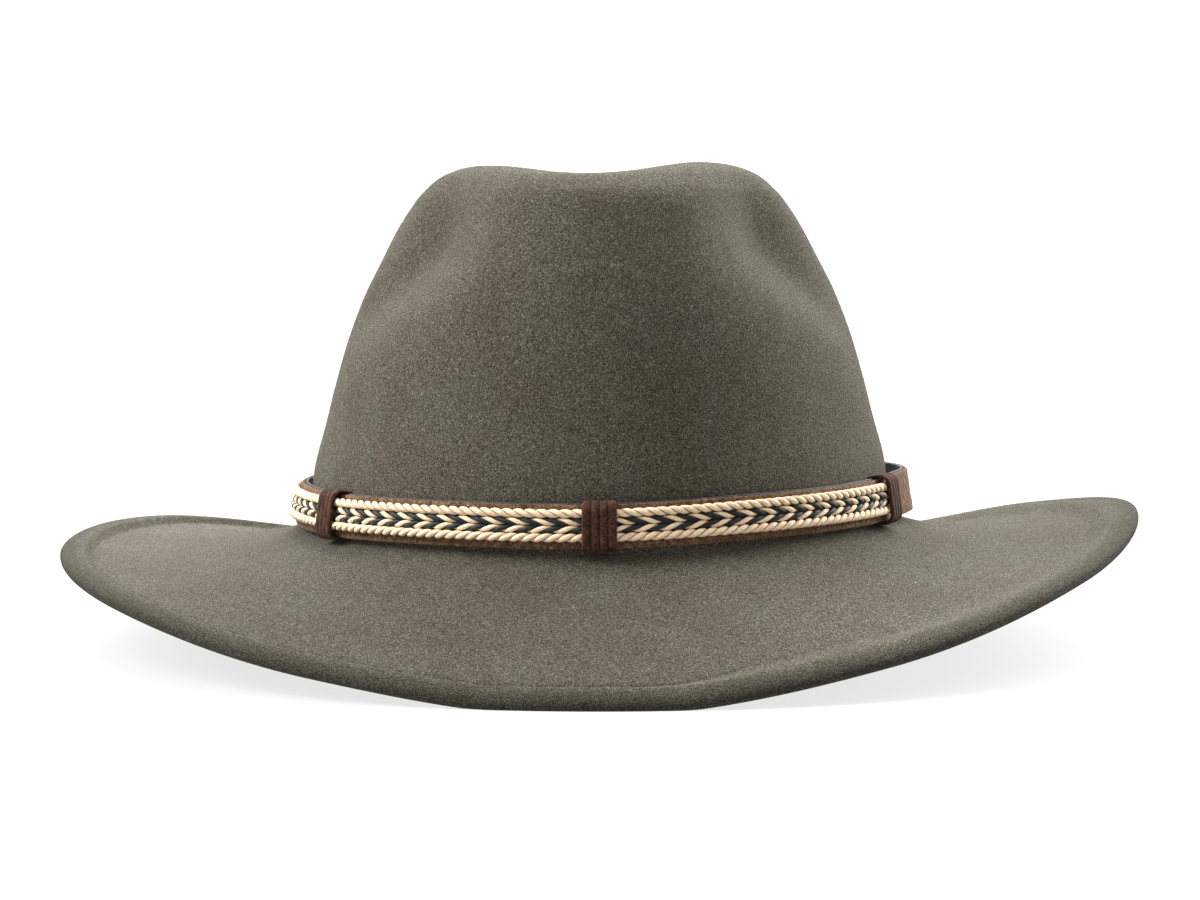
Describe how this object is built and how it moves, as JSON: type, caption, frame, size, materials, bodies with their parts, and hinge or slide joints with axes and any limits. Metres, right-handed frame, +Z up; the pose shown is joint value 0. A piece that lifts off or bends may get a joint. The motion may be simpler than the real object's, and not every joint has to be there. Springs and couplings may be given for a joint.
{
  "type": "wide-brimmed felt hat",
  "caption": "Wide-brimmed felt hat with a creased crown, a brim curled up at the sides, and a suede band with twisted cords bound by lace wraps.",
  "frame": {"origin": "on the surface the hat rests on, below the middle of its outline", "axes": "+X to the right of someone looking at the front, +Y from front to back, +Z up"},
  "size_m": [0.3197, 0.3431, 0.1415],
  "materials": {
    "felt": "wool felt with a short raised nap",
    "suede": "tan suede with loose fibres",
    "backing": "dark matt backing",
    "cream_cord": "cream waxed cord, twisted from two plies",
    "two_tone_cord": "cord twisted from one cream and one dark ply",
    "lace": "dark brown suede lace"
  },
  "bodies": {
    "root": {"felt_body": "felt", "strap_facing": "suede", "strap_backing": "backing", "cord_bottom": "cream_cord", "braid_lower": "two_tone_cord", "braid_upper": "two_tone_cord", "cord_top": "cream_cord", "wrap_left": "lace", "wrap_centre": "lace", "wrap_right": "lace"}
  },
  "joints": []
}
